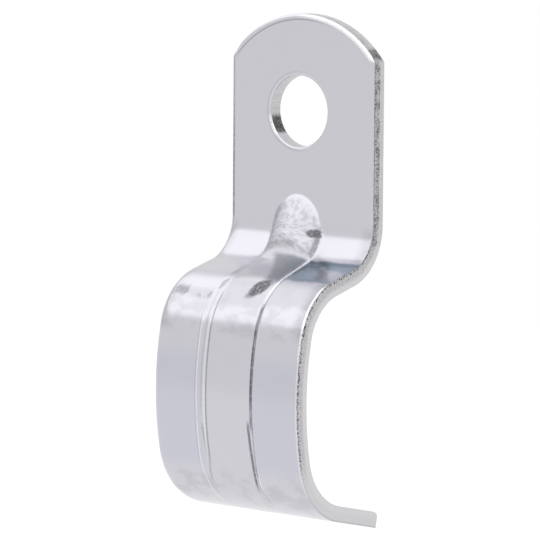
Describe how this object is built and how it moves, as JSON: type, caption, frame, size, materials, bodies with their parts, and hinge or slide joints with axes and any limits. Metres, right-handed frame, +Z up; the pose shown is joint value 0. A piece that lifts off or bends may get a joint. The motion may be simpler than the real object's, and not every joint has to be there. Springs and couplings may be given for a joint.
{
  "type": "conduit strap",
  "caption": "Pressed steel strap: a flat screw tab with a rounded end, an S bend stiffened by a pressed rib, and a shallow saddle that holds a conduit or cable to a wall.",
  "frame": {"origin": "centre of the screw hole, on the tab's wall face", "axes": "+Z up along the tab away from the saddle, -Y square to the wall and away from it, X across the sheet along the conduit"},
  "size_m": [0.016, 0.0119, 0.0446],
  "materials": {
    "zinc_plated_steel": "bright zinc plate"
  },
  "bodies": {
    "root": {"strap": "zinc_plated_steel"}
  },
  "joints": []
}
